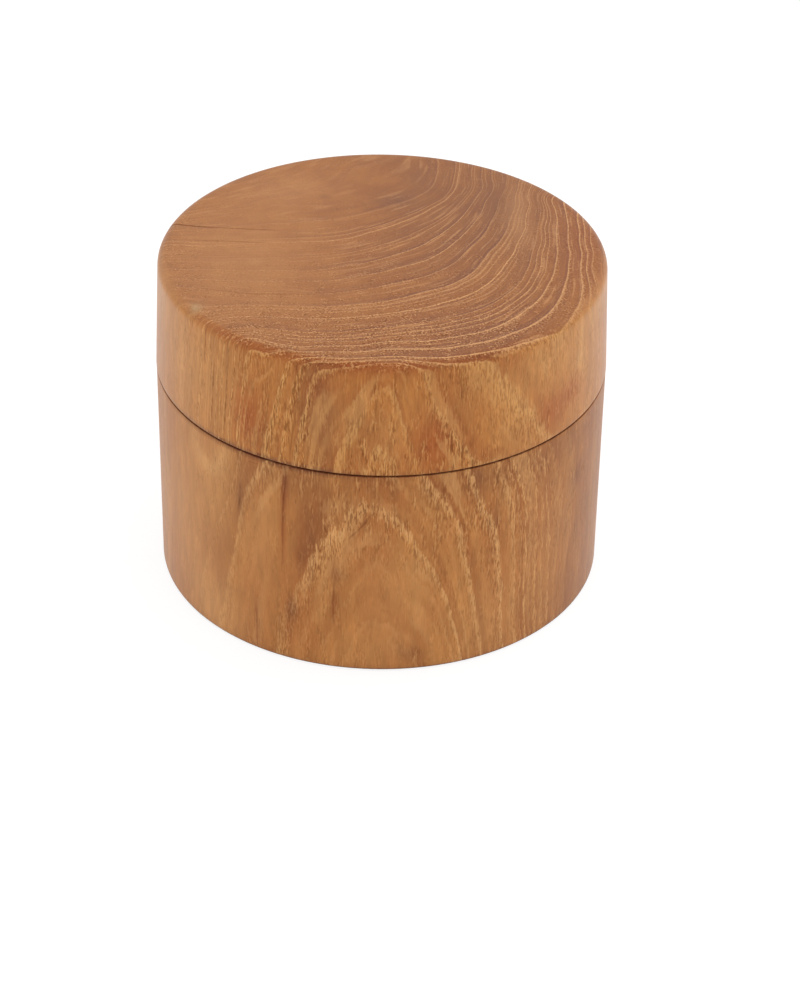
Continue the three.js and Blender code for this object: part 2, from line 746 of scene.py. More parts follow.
def vessel_recipe() -> NodeTree:
    """Group of the wood's vessels: dark and pale flecks, long on the wall, round on end grain.

    Returns:
        The group.
    """
    recipe = Recipe("Vessels", ("Place", "End grain", "Early wood", "Strength"), ("Dark", "Pale"))
    add = recipe.add
    place, end, early, strength = (recipe.given[index] for index in range(4))
    sides = add.noise(add.cells(place, *SIDE_CELL))
    ends = add.noise(add.cells(place, *END_CELL))
    fine = add.line(add.math("SUBTRACT", ends, sides), end, sides)
    needles = add.noise(add.cells(place, *NEEDLE_CELL), detail=0.0)
    clusters = add.noise(add.cells(place, *CLUSTER_CELL))
    clusters = add.span(clusters, *CLUSTER_EDGE, *CLUSTER_STRENGTH)
    lively = add.times(add.math("MAXIMUM", early, clusters), strength)
    sharp = add.times(add.blend(lively, *NEEDLE_STRENGTH), strength)
    dark = add.math("MAXIMUM", add.times(add.span(fine, *DARK_FLECK_EDGE), lively),
                    add.times(add.span(needles, *DARK_NEEDLE_EDGE), sharp))
    pale = add.math("MAXIMUM", add.times(add.span(fine, *PALE_FLECK_EDGE), lively),
                    add.times(add.span(needles, *PALE_NEEDLE_EDGE), sharp), clamp=True)
    pores = add.named(add.node("TexVoronoi", voronoi_dimensions="3D", feature="F1"),
                      {"Vector": add.cells(place, *PORE_CELL), "Scale": 1.0})
    size = add.node("SeparateColor", pores["Color"]).outputs[0]
    reach = add.times(add.blend(early, *PORE_SIZE), size)
    near = add.math("DIVIDE", pores["Distance"], add.math("ADD", reach, SMALLEST_PORE))
    pore = add.times(add.span(near, *PORE_EDGE), strength)
    return recipe.done(add.math("MAXIMUM", dark, pore, clamp=True), pale)


def streak_recipe() -> NodeTree:
    """Group of fine streaks that run beside the rings, and of slow changes of colour.

    Returns:
        The group.
    """
    recipe = Recipe("Streaks", ("Place", "Age"), ("Fine", "Wisps", "Slow", "Mottle"))
    add, place, age = recipe.add, recipe.given["Place"], recipe.given["Age"]
    across = add.node("SeparateXYZ", place).outputs
    bend = (add.times(side, STREAK_BEND) for side in across[:2])
    beside = add.node("CombineXYZ", add.times(age, STREAKS), *bend).outputs[0]
    apart = add.vector("MULTIPLY_ADD", beside, WISP_SCALE, WISP_START)
    fine = add.noise(beside, detail=2.0, roughness=0.6)
    wisps = add.span(add.noise(apart, roughness=0.6), *WISP_EDGE)
    slow = add.noise(add.cells(place, *SLOW_CELL), detail=2.0)
    mottle = add.centred(add.noise(add.cells(place, *MOTTLE_CELL)))
    return recipe.done(fine, wisps, slow, mottle)


def speck_recipe() -> NodeTree:
    """Group of the finest speckle, the cut ends and sides of the wood's fibres.

    Returns:
        The group.
    """
    recipe = Recipe("Fibre speckle", ("Place",), ("Speckle",))
    place = recipe.add.cells(recipe.given["Place"], *SPECK_CELL)
    return recipe.done(recipe.add.noise(place, roughness=0.6))


# Teak

PUTTY = tone(180, 150, 108)
# colour of the cracks, and of the painted shade lines in the seam and at the foot
CRACK_AND_SHADE_TONE = tone(84, 28, 4)


@dataclass(frozen=True)
class TeakFinish:
    """Oiled satin teak. A face's tones are two grounds, the late wood and the pale lines.

    A pair of strengths is the one on the wall and the one on end grain.
    """

    name: str
    rings: tuple[Ring, ...]
    wall: tuple[Colour, ...]
    end: tuple[Colour, ...]
    vessel: Colour
    red: Colour
    shade: Colour
    feather: float
    sway: float
    coat: float
    line_strength: Pair = (0.8, 1.0)
    wisp_strength: float = 0.35
    patch_strength: float = 0.8
    shade_strength: float = 0.9
    pale_flecks: float = 0.6
    dark_flecks: float = 0.55
    flecks_in_line: float = 0.2
    speckle_strength: Pair = (0.28, 0.58)
    mottle_strength: Pair = (0.36, 0.12)
    crack_and_shade_strength: float = 0.85
    relief: float = 0.4
    relief_depth: float = 0.15
    vessel_depth: float = 0.6
    speckle_height: float = 0.25
    roughness: float = 0.42
    vessel_roughness: float = 0.18
    speckle_roughness: float = 0.2
    crack_and_shade_roughness: float = 0.4
    gloss: float = 0.16
    wood_ior: float = 1.5
    dry_vessels: float = 0.8
    dry_ends: float = 0.3
    coat_roughness: float = 0.32
    coat_ior: float = 1.3

    SLOTS = 32
    WIDEST_LINE = 2.0
    WIDEST_RING = 12.0
    LAST_RING = 4.0
    LEAD_WIDTH = 0.4
    EDGE_WIDTHS = (0.3, 2.2)
    EDGE_STRENGTH = 0.55
    EARLY_WIDTH = 3.0
    LATE_CURVE = 1.6
    SLOW_EDGE = (0.36, 0.64)
    FINE_EDGE = (0.35, 0.65)
    FINE_SWING = (-0.35, 0.35)
    FLECKED_SPECKLE = (0.5, 1.0)
    CRACK_AND_SHADE_EDGE = (0.1, 0.42)
    CRACK_AND_SHADE_BREAK = (0.2, 1.05)

    def chart(self) -> NodeTree:
        """Group that turns age into ring numbers and reads each ring's look from its chart.

        Returns:
            The group, with the strength of the start line, the late wood and the early wood.
        """
        recipe = Recipe(self.name + " ring chart", ("Age",),
                        ("Start line", "Late wood", "Early wood"))
        add = recipe.add
        ages = [ring.age for ring in self.rings]
        low, high = ages[0], ages[-1]
        curve = add.node("FloatCurve")
        points = curve.mapping.curves[0].points
        points[1].location = (1.0, (len(ages) - 1) / self.SLOTS)
        for index, age in enumerate(ages[1:-1], start=1):
            points.new((age - low) / (high - low), index / self.SLOTS)
        for point in points:
            point.handle_type = "VECTOR"
        curve.mapping.update()
        since = add.math("SUBTRACT", recipe.given["Age"], low)
        share = add.math("DIVIDE", since, high - low, clamp=True)
        count = add.times(add.named(curve, {"Value": share})[0], float(self.SLOTS))
        past = add.math("FRACT", count)
        rows = [(ring.pale, ring.width / self.WIDEST_LINE) for ring in self.rings]
        pale, width = self._ramp(add, add.math("ROUND", count), rows)
        gaps = [b - a for a, b in zip(ages, ages[1:])] + [self.LAST_RING]
        rows = [(gap / self.WIDEST_RING, ring.late) for gap, ring in zip(gaps, self.rings)]
        spacing, late = self._ramp(add, add.math("FLOOR", count), rows)
        spacing = add.times(spacing, self.WIDEST_RING)
        width = add.times(width, self.WIDEST_LINE)
        after = add.times(past, spacing)
        before = add.times(add.math("SUBTRACT", 1.0, past), spacing)
        trail = add.span(after, 0.0, width, 1.0, 0.0)
        lead = add.span(before, 0.0, add.times(width, self.LEAD_WIDTH), 1.0, 0.0)
        line = add.times(add.math("MAXIMUM", trail, lead), pale)
        start, end = (add.times(width, share) for share in self.EDGE_WIDTHS)
        edge = add.span(before, start, end, self.EDGE_STRENGTH, 0.0)
        late = add.times(add.math("ADD", add.math("POWER", past, self.LATE_CURVE), edge), late)
        early = add.span(after, 0.0, add.times(width, self.EARLY_WIDTH), 1.0, 0.0)
        early = add.times(early, pale)
        return recipe.done(line, late, early)

    def _ramp(self, add: Tree, number: NodeSocket, rows: list[Pair]) -> list[NodeSocket]:
        """Reads two values for a ring number from a stepped ramp.

        Args:
            add: The tree to add to.
            number: The ring's number.
            rows: The two values of each ring.

        Returns:
            The two values.
        """
        middle = add.math("ADD", number, 0.5)
        ramp = add.node("ValToRGB", add.math("DIVIDE", middle, float(self.SLOTS)))
        ramp.color_ramp.interpolation = "CONSTANT"
        steps = ramp.color_ramp.elements
        steps.remove(steps[1])
        steps[0].position = 0.0
        steps[0].color = (*rows[0], 0.0, 1.0)
        for index, row in enumerate(rows[1:], start=1):
            steps.new(index / self.SLOTS).color = (*row, 0.0, 1.0)
        return add.node("SeparateColor", ramp.outputs[0]).outputs[:2]

    def material(self, recipes: Recipes) -> Material:
        """Builds the finish.

        Args:
            recipes: The shared groups.

        Returns:
            The material.
        """
        made = bpy.data.materials.new(self.name)
        made.use_nodes = True
        add = Tree(made.node_tree)
        place = add.cells(add.node("TexCoord").outputs["Object"], MM, MM)
        end, strength = add.attribute("end_grain"), add.attribute("ring_strength")
        flecked = add.attribute("fleck_strength")
        feather = add.times(add.math("MINIMUM", flecked, 1.0), self.feather)
        wander = add.group(recipes.wander, Place=place, Age=add.attribute("growth"),
                           End_grain=end, Feather=feather, Sway=self.sway)
        chart = add.group(self.chart(), Age=wander["Age"])
        vessels = add.group(recipes.vessels, Place=place, End_grain=end,
                            Early_wood=chart["Early wood"], Strength=flecked)
        streaks = add.group(recipes.streaks, Place=place, Age=wander["Age"])
        speckle = add.group(recipes.speckle, Place=place)["Speckle"]
        rough = add.centred(speckle)

        # the ground colour, with late wood and the soft patches over it, among them painted shade
        # and painted reflection
        ground, second, late_tone, pale_tone = (
            add.mix(end, *pair) for pair in zip(self.wall, self.end))
        colour = add.mix(add.span(streaks["Slow"], *self.SLOW_EDGE), ground, second)
        fine = add.span(streaks["Fine"], *self.FINE_EDGE, *self.FINE_SWING)
        late = add.times(add.math("ADD", chart["Late wood"], fine), strength, clamp=True)
        colour = add.mix(late, colour, late_tone)
        for name, tint, most in (("pale_patch", pale_tone, self.patch_strength),
                                 ("red_patch", self.red, self.patch_strength),
                                 ("dark_patch", self.shade, self.shade_strength)):
            colour = add.mix(add.times(add.attribute(name), most, clamp=True), colour, tint)

        # the pale start lines and wisps, then the pale and dark flecks
        line = add.times(chart["Start line"], wander["Broken"])
        line = add.times(line, add.blend(end, *self.line_strength))
        line = add.math("MAXIMUM", line, add.times(streaks["Wisps"], self.wisp_strength))
        line = add.times(line, strength)
        colour = add.mix(line, colour, pale_tone)
        colour = add.mix(add.times(vessels["Pale"], self.pale_flecks), colour, pale_tone)
        open_wood = add.blend(add.times(line, end), 1.0, self.flecks_in_line)
        dark = add.times(add.times(vessels["Dark"], self.dark_flecks), open_wood)
        colour = add.mix(dark, colour, self.vessel)

        # speckle and mottle, then putty, and the cracks with the painted shade lines in the seam
        # and at the foot
        lively = add.blend(flecked, *self.FLECKED_SPECKLE)
        grainy = add.times(add.blend(end, *self.speckle_strength), lively)
        mottle = add.times(streaks["Mottle"], add.blend(end, *self.mottle_strength))
        light = add.line(rough, grainy, add.math("ADD", mottle, 1.0))
        colour = add.vector("MULTIPLY", colour, light)
        colour = add.mix(add.attribute("putty_patch"), colour, PUTTY)
        side = add.math("ABSOLUTE", add.attribute("crack_and_shade_side"))
        crack_and_shade = add.span(side, *self.CRACK_AND_SHADE_EDGE, 1.0, 0.0)
        crack_and_shade = add.times(crack_and_shade, add.attribute("crack_and_shade_depth"))
        whole = add.blend(wander["Broken"], *self.CRACK_AND_SHADE_BREAK)
        crack_and_shade = add.times(crack_and_shade, whole, clamp=True)
        colour = add.mix(add.times(crack_and_shade, self.crack_and_shade_strength), colour, CRACK_AND_SHADE_TONE)

        # relief, gloss and oil
        height = add.times(speckle, self.speckle_height)
        height = add.line(vessels["Dark"], -self.vessel_depth, height)
        bump = add.named(add.node("Bump"), {
            "Strength": self.relief, "Distance": self.relief_depth * MM,
            "Height": add.line(crack_and_shade, -1.0, height)})
        satin = add.line(vessels["Dark"], self.vessel_roughness, self.roughness)
        satin = add.line(rough, self.speckle_roughness, satin)
        unsealed = add.math("MAXIMUM", crack_and_shade, add.times(vessels["Dark"], self.dry_vessels))
        oil = add.blend(end, self.coat, self.coat * (1.0 - self.dry_ends))
        add.finish("BsdfPrincipled", "OutputMaterial", {
            "Base Color": colour, "Roughness": add.line(crack_and_shade, self.crack_and_shade_roughness, satin),
            "Normal": bump[0], "IOR": self.wood_ior, "Specular IOR Level": self.gloss,
            "Coat Weight": add.times(add.math("SUBTRACT", 1.0, unsealed), oil),
            "Coat Roughness": self.coat_roughness, "Coat IOR": self.coat_ior})
        return made


# The two blocks

ALL_ROUND = 9999.0

LID_LINES = traced(
    GrainLine, TOP,
    (-20, (-30, 30), (-8, 50)),
    (-9, (21.2, 54), (20.8, 48), (20, 38), (17, 30), (10.5, 22), (5, 17), (0, 13), (-10, 6.8),
     (-22, 4.8), (-45, 2)),
    (-0.5, (25.2, 50), (25, 40), (23.5, 33), (17, 19.5), (10, 10.5), (3, 4.5), (-5, -0.5),
     (-20, -5)),
    (4.5, (27.2, 47), (27, 38), (22.5, 24), (15, 10), (6.5, 0.5), (-5, -6.5), (-20, -11),
     (-48, -11)),
    (11, (29.4, 49), (29.2, 43), (27.5, 30), (23.5, 15), (15.3, 0), (5, -7.8), (-5, -12.5),
     (-20, -16)),
    (17, (34.2, 43), (33.5, 38), (30.5, 24), (26, 9), (19.5, -4), (10, -13.5), (0, -18.3),
     (-15, -23), (-45, -21)),
    (23.8, (36.6, 41), (35.5, 32), (33.5, 18), (27.5, 0), (21, -14), (10, -21.5), (0, -26.5),
     (-20, -29.5), (-48, -30)),
    (30.1, (40.2, 38), (40, 29), (38.3, 15), (34.3, 0), (29, -13), (20, -24), (8, -30.5),
     (-5, -34), (-22, -35.3), (-42, -37)),
    (40.5, (42.8, 30), (42.3, 15), (41.3, 0), (38, -18), (30, -30.5), (20, -37), (8, -41),
     (-5, -44.5), (-22, -45.5)),
    (44.5, (46, 33), (46.4, 15), (45.8, 0), (42, -18), (36, -30), (25, -41), (10, -46.5),
     (-5, -48.9), (-20, -49.8)),
    (48.5, (49.2, 20), (48.9, 2), (48, -10), (46.4, -19), (44, -27), (41, -33), (37, -38),
     (30, -43.3), (20, -48.1), (10, -49.8), (0, -50.2), (-10, -51.8), (-27, -52)),
    (52.5, (51.5, 20), (52, 0), (50.3, -24), (45, -38), (30, -49.2), (15, -53.8), (0, -54),
     (-12, -54.9)), (56, (54.5, 8), (54, -8))) + traced(
    GrainLine, WALL,
    (44.5, (-38, 85), (-39.2, 74), (-40.2, 63)), (48.5, (-35.4, 89), (-36.3, 78), (-38, 65)),
    (52.5, (-23.8, 90), (-26, 79), (-28, 70), (-29.7, 62)), (53.4, (50, 82), (54, 66), (64, 76)),
    (54.3, (29, 89), (33, 82), (36, 76), (40, 70), (45, 61.5)),
    (56, (-16.5, 89), (-18.5, 80), (-20.3, 70), (-21.5, 62), (11, 89), (13, 80.5), (16, 74),
     (19, 69.5), (23.3, 62)),
    (59, (-0.5, 86), (2, 85.5), (-4.6, 78), (-8, 71), (-10.6, 65), (5, 77), (9.8, 63)),
    (60.3, (0, 71), (-2.2, 65), (3, 65)), (42, (-40.5, 88), (-41, 75), (-41.5, 62)),
    (38, (-45.2, 83), (-45.5, 72), (-46, 63)), (30.1, (-49.5, 86), (-50.5, 75), (-51, 63)),
    (23.8, (-64, 86), (-63, 68)))
LID_RINGS = counted(
    (-50, 0.2, 0.6, 0.2), (-41, 0.2, 0.6, 0.2), (-33, 0.25, 0.5, 0.3), (-26, 0.2, 0.5, 0.3),
    (-20, 0.15, 0.5, 0.4), (-15, 0.35, 0.4, 0.5), (-10.4, 0.45, 0.4, 0.1), (-9, 0.8, 0.6, 0.55),
    (-2, 0.45, 0.3, 0.3), (-0.5, 0.65, 0.35, 0.8), (4.5, 0.85, 0.4, 0.8), (11, 0.8, 0.4, 0.8),
    (17, 0.55, 0.4, 0.8), (23.8, 0.6, 0.6, 0), (25.4, 0.6, 0.8, 0.1), (26.9, 0.5, 0.5, 0.2),
    (30.1, 0.95, 0.45, 0.2), (31.2, 0.5, 0.3, 0.7), (37, 0.6, 0.35, 0.4), (39, 0.65, 0.4, 0.4),
    (40.5, 0.8, 0.45, 0.5), (42, 0.6, 0.4, 0.5), (44.5, 1, 0.58, 0.65), (48.5, 1, 0.62, 0.58),
    (52.5, 1, 0.62, 0.5), (54.3, 0.85, 0.55, 0.5), (56, 0.75, 0.4, 0.6), (59, 0.45, 0.25, 0.5),
    (60.3, 0.45, 0.3, 0.4), (61.6, 0.5, 0.5, 0.4), (66, 0.3, 0.5, 0.4))
LID_PATCHES = soft(
    Patch, TOP,
    (3, 29, 4, 3, 0.5), (9, 44, 3, 7, 0.25), (26, 24, 19, 26, 0.46), (52, 14, 5, 22, 0.1, 0.35),
    (36, 22, 2.6, 13, 0, 0, 0.5), (-16, 31, 1.4, 1.2, 0.35), (25, -43, 13, 9, 0.46, 0.2),
    (-25, 36, 9, 8, 0, 0, 0.2), (30, 30, 2.2, 9, 0.3), (-40, -6, 18, 26, 0, 0, 0.26),
    (-47, -31, 0.9, 1.5, 0, 0, 0, 0.7), (-33, -6, 1.3, 1, 0, 0, 0.2)) + soft(
    Patch, WALL,
    (-34, 71, 3.2, 5, 0, 0.8), (12.7, 69.5, 4, 5.5, 0, 0.85), (46.5, 68.6, 3.8, 3.6, 0.1, 0.6),
    (54.5, 70.8, 3.6, 2.6, 0, 0.6), (59.6, 84, 0.7, 4, 0, 0, 0.45),
    (58.4, 78, 0.8, 1.6, 0, 0, 0.5), (-14.5, 84.5, 2.2, 3, 0, 0.4), (-2, 91, 15, 1.4, 0.2, 0.7),
    (-38, 91, 14, 1, 0.15, 0.6), (30, 91.5, 14, 0.9, 0.1, 0.4), (-10, 74, 5, 6, 0, 0, 0.25),
    # the pale patches at -60, 62, 74 and -78 degrees are painted reflection, lighter towards the
    # wall's left and right edges
    (3, 72, 4, 7, 0, 0, 0.3), (-60, 76, 14, 14, 0, 0, 0.36), (-45, 78, 5, 12, 0, 0, 0.2),
    (62, 78, 13, 14, 0, 0, 0.34), (41, 83, 9, 6, 0, 0, 0.28), (74, 88, 12, 3.5, 0, 0, 0.3),
    # the dark patch at height 60.8 is painted shade along the seam, darkest at the front left
    (-78, 86, 10, 5, 0, 0, 0.25), (-30, 60.8, 26, 0.35, 0.8), (-15, 78, 4, 12, 0.56, 0.12),
    (-30, 66, 4, 5, 0.14), (17, 77, 6, 10, 0.28, 0.12), (-4.5, 75, 1.6, 5, 0.25),
    (33, 68, 4, 8, 0, 0, 0.25))
LID_CRACK_AND_SHADE_LINES = traced(
    CrackAndShadeLine, TOP,
    (0.75, (-68, 16.1), (-56, 14), (-50, 12.8), (-42, 12)),
    (0.4, (-46, 12.4), (-36, 11.6), (-27, 11)), (0.4, (-7.2, -35.2), (-6.5, -36), (-5.9, -36.7)),
    (0.3, (-50, 5), (-38, 4.5), (-30, 4)), (0.3, (-48, -20.5), (-33, -23.5), (-15, -23))) + traced(
    CrackAndShadeLine, WALL,
    (0.5, (-48.5, 92), (-48.7, 80)), (0.45, (-45.2, 84), (-45.4, 74), (-46, 63)),
    (0.45, (-40.4, 92), (-40.8, 75), (-41.5, 62)), (0.35, (-28.2, 80), (-28.8, 70), (-30.4, 61)),
    # the ring at height 60.45 is painted shade in the seam at the lid's mouth; the others are
    # cracks
    (0.35, (-19.6, 84), (-21.4, 72), (-22.4, 61)), (0.8, (-180, 60.45), (180, 60.45)))
LID_LULLS = soft(
    Lull, TOP,
    (-34, 6, 16, 24, 0.75, 0.75), (-14, 40, 24, 14, 0.75, 0.7), (20, 30, 30, 22, 0, 0.6),
    (34, 27, 5, 13, 0.6), (5, -44, 34, 9, 0, -0.95), (50, 0, 6, 22, 0.28), (33, -4, 8, 18, 0.15),
    (-30, -20, 22, 17, 0.65, -0.1)) + soft(
    Lull, WALL,
    (-22.5, 76, 1.5, 14, 0.7), (-72, 76, 17, 30, 0.7, 0.7), (72, 76, 17, 30, 0.7, 0.6),
    (26, 79, 5, 10, 0, 0.4), (-12, 74, 4, 8, 0, 0.5), (-19, 74, 2.5, 10, 0, -0.9),
    (-27, 72, 2, 10, 0, -0.2), (-30, 78, 7, 14, 0.3, 0.15), (13, 80, 3, 8, 0.25),
    (19.5, 67, 3, 6, 0, -0.9), (0, 65, 7, 5, 0, -0.7), (-6.5, 76, 2, 8, 0, -0.5),
    (50, 84, 9, 7, 0, 0.3), (0, 89.5, 4, 2, 0.8))
LID_BLOCK = Block(Surface(top=91.6, top_radius=58.7, foot=60.55, foot_radius=60.0),
                  LID_LINES, LID_RINGS, LID_PATCHES, LID_CRACK_AND_SHADE_LINES, LID_LULLS)

BODY_LINES = traced(
    GrainLine, WALL,
    (0, (-1, 51), (-4.5, 48.8), (-8, 46.4), (-10, 43.8), (-12.2, 39.6), (-14.2, 35), (-17, 29.8),
     (-19, 25), (-20.6, 21), (-22.8, 18), (-24, 14), (-24.5, 9), (-24.8, 4), (-25, 1), (1, 50),
     (4, 47), (7, 43), (9, 39), (11, 35), (13.4, 30), (16.2, 24), (18.6, 17), (20, 10), (21.5, 3)),
    (-3.2, (11, 60), (13, 56), (16, 51.5), (17.8, 48), (20, 44), (21, 37), (22.5, 31), (23.5, 24),
     (24.5, 18), (25.5, 12), (26.7, 4)),
    (-5.5, (22, 59), (24.5, 53), (26, 48), (28, 43), (30, 39), (31, 33), (31.5, 24), (32, 15),
     (33, 4)),
    (-6.8, (30.5, 59), (33.5, 52), (35.5, 43), (36, 30), (36.5, 15), (37, 4)),
    (-7.8, (34.5, 59), (38, 51), (39.5, 42), (40, 30), (40, 15), (40.5, 4)),
    (-8.8, (38.5, 59), (42, 51), (43, 42), (43.5, 30), (43.5, 15), (44, 4)),
    (-9.8, (41.5, 59), (45, 51), (46.5, 42), (47.5, 30), (48, 15), (48, 4)),
    (-3.2, (-30, 58), (-32.7, 53), (-35.2, 47.5), (-36.4, 42), (-37.6, 35), (-39, 28), (-40.4, 22),
     (-42, 15), (-43.7, 9), (-45.5, 2)), (1.2, (-0.5, 38), (-7, 26), (7, 22)),
    (2.4, (-0.5, 20), (-7, 8), (8, 8)), (3.2, (0, 5)),
    (-7.8, (-53, 58), (-51, 53), (-48, 50.5), (-45, 50), (-43, 53), (-41, 57)),
    (-11, (-68, 50), (-66, 35), (58, 30), (58, 50)), (-20, (90, 10), (90, 50)),
    (-33, (120, 30)), (-44, (150, 10)), (-42, (150, 50)), (-49, (180, 10)),
    (-44, (180, 50)), (-19, (-90, 10)), (-20, (-90, 50)), (-32, (-120, 30)),
    (-43, (-150, 10)), (-42, (-150, 50)))
BODY_RINGS = counted(
    (-56, 0.3, 0.6, 0.4), (-51, 0.4, 0.6, 0.5), (-46, 0.5, 0.8, 0.5), (-42, 0.4, 0.6, 0.5),
    (-38, 0.4, 0.5, 0.5), (-34, 0.4, 0.5, 0.5), (-30.5, 0.4, 0.5, 0.4), (-27, 0.4, 0.5, 0.4),
    (-23.5, 0.4, 0.5, 0.4), (-20, 0.3, 0.5, 0.4), (-17, 0.3, 0.5, 0.4), (-14.5, 0.25, 0.4, 0.4),
    (-12.5, 0.25, 0.4, 0.3), (-11, 0.2, 0.25, 0.4), (-10.4, 0.3, 0.16, 0.4), (-9.8, 0.6, 0.2, 0.5),
    (-9.3, 0.5, 0.14, 0.4), (-8.8, 0.75, 0.2, 0.6), (-8.3, 0.5, 0.14, 0.4), (-7.8, 0.85, 0.2, 0.6),
    (-7.3, 0.5, 0.14, 0.4), (-6.8, 0.8, 0.24, 0.6), (-5.5, 1, 0.36, 0.6), (-3.2, 0.9, 0.5, 0.55),
    (0, 0.95, 0.36, 0.1), (0.75, 0.3, 0.3, 0.2), (1.4, 0.25, 0.2, 0.4), (2.5, 0.3, 0.2, 0.3),
    (3.4, 0.3, 0.3, 0.3), (6, 0.3, 0.3, 0.3), (12, 0.3, 0.3, 0.3))
BODY_PATCHES = soft(
    Patch, WALL,
    (-14, 49.5, 1.6, 5, 0.25, 0.3), (-17, 40, 1.8, 4.5, 0.2, 0.3),
    (-19.3, 34, 1.6, 3.5, 0.2, 0.35), (8.2, 5, 2.6, 2, 0.55), (-21.6, 16.5, 1.1, 2.2, 0.8, 0.3),
    (-23, 10, 0.8, 4, 0.2, 0.6), (-10.4, 30, 1.3, 1.8, 0.5, 0.3), (-11, 21, 0.7, 4, 0.2, 0.7),
    (59.5, 43, 2.2, 3, 0.42), (60.5, 26, 1, 3, 0.25), (58, 4, 16, 5, 0.2), (30, 42, 0.9, 4, 0.5),
    (24, 57, 1.6, 3, 0.3), (-70, 46, 1.4, 6, 0.3), (-23.6, 54, 0.6, 4.5, 0.4, 1.2),
    (-24.3, 42, 0.5, 8, 0.12, 0.9), (-31.8, 7, 0.5, 5, 0.15, 0.8),
    (-52.5, 56, 1.6, 3.2, 0, 0, 0.36), (-50, 52, 1.6, 2, 0, 0, 0.4),
    (-46.5, 50.5, 2, 1.3, 0, 0, 0.4), (-43.5, 53, 1.6, 2.4, 0, 0, 0.5),
    (-41.5, 57, 1.6, 2.6, 0, 0, 0.45), (-36.8, 46, 0.8, 5, 0.3), (-43.5, 24, 3, 8, 0.18),
    (-40.5, 34, 1.5, 5, 0.2), (-49.3, 27, 0.9, 3.5, 0.3), (-37, 47, 3, 6, 0.34),
    (-31, 36, 3.5, 14, 0, 0, 0.26), (-57, 29, 10, 16, 0, 0, 0.44), (-46, 6, 8, 8, 0, 0, 0.55),
    (-46, 50, 6, 9, 0, 0, 0.28), (-17, 40, 3.2, 12, 0.34), (-22, 58, 10, 3.5, 0.24),
    # the dark patch at height 60.2 is painted shade along the seam under the lid, darkest at the
    # front left
    (28, 9, 7, 12, 0, 0, 0.34), (-1, 5, 7, 5, 0, 0, 0.22), (-30, 60.2, 26, 0.35, 1),
    (4, 22, 7, 10, 0, 0, 0.2), (-12, 45.6, 0.9, 1.6, 0, 0, 0.5), (-6.4, 42.6, 1.1, 2, 0.3),
    # the patch at 70 degrees and a height of 30 is painted shade on the jar's right side, with a
    # little red
    (-3.8, 45.8, 0.9, 1.9, 0.3), (50, 26, 7, 16, 0, 0, 0.2), (70, 30, 12, 30, 0.4, 0.1),
    # the dark band all round at height 0 is a painted contact shadow along the foot
    (34, 57, 26, 4.5, 0.42), (-28, 56, 8, 5, 0.12), (0, 0, ALL_ROUND, 0.5, 1.2))
BODY_CRACK_AND_SHADE_LINES = traced(
    CrackAndShadeLine, WALL,
    (0.4, (-23.2, 65), (-23.4, 56), (-24, 49), (-24.3, 42), (-24.5, 28)),
    (0.3, (-32, 15), (-32, 1)), (0.4, (-36.6, 51), (-36.4, 47), (-37.4, 41)),
    (0.3, (-32.8, 55.5), (-31.6, 52.5)), (0.42, (-2, 49), (-3.6, 46), (-5.2, 43.8), (-7.6, 41)),
    # the ring at height 60.3 is painted shade in the seam under the lid, and the ring at 0.35 a
    # painted contact shadow along the foot; the others are cracks
    (0.3, (-10.6, 31), (-11.3, 21), (-11, 13)), (0.75, (-180, 60.3), (180, 60.3)),
    (0.6, (-180, 0.35), (180, 0.35)))
BODY_LULLS = soft(
    Lull, WALL,
    (-62, 30, 14, 60, 0.75, 0.8), (-45, 26, 10, 22, 0.3, 0.5), (71, 30, 11, 60, 0.7, 0.55),
    (-50, 42, 7, 18, 0.9), (-40, 54, 3.2, 8, 0.9), (-24, 12, 5, 11, 0.75),
    (6, 43, 6, 7, 0.15, -0.15), (15, 51, 4, 6, 0.1, -0.1), (29, 46, 6, 9, 0, -0.35),
    (-14, 38, 3, 7, 0, -0.4), (-17, 54, 6, 5, 0, -0.3), (-11, 43, 8, 9, 0.22),
    (3, 18, 14, 14, 0.3, 0.7), (-22.5, 36, 3.5, 17, 0, 0.5), (-1, 53, 5, 3, 0.5),
    (-18, 25, 3, 6, 0.35), (-31, 28, 6, 20, 0, 0.45), (46, 16, 14, 18, 0, 0.35))
BODY_BLOCK = Block(Surface(top=60.2, top_radius=59.9, foot=0.0, foot_radius=59.9),
                   BODY_LINES, BODY_RINGS, BODY_PATCHES, BODY_CRACK_AND_SHADE_LINES, BODY_LULLS)

LID_TEAK = TeakFinish(
    name="Oiled teak, lid", rings=LID_BLOCK.rings,
    wall=tones((181, 113, 51), (189, 122, 58), (165, 96, 40), (220, 163, 98)),
    end=tones((167, 103, 44), (158, 94, 38), (129, 72, 38), (220, 162, 106)),
    vessel=tone(96, 46, 14), red=tone(164, 76, 22), shade=tone(118, 70, 42),
    feather=0.65, sway=0.6, coat=0.4)

BODY_TEAK = TeakFinish(
    name="Oiled teak, jar", rings=BODY_BLOCK.rings,
    wall=tones((180, 115, 60), (189, 126, 67), (163, 98, 47), (220, 164, 104)),
    end=tones((174, 114, 62), (166, 106, 58), (136, 82, 46), (212, 158, 104)),
    vessel=tone(96, 46, 14), red=tone(156, 80, 32), shade=tone(116, 66, 36),
    feather=0.85, sway=0.7, coat=0.19)


# The pieces

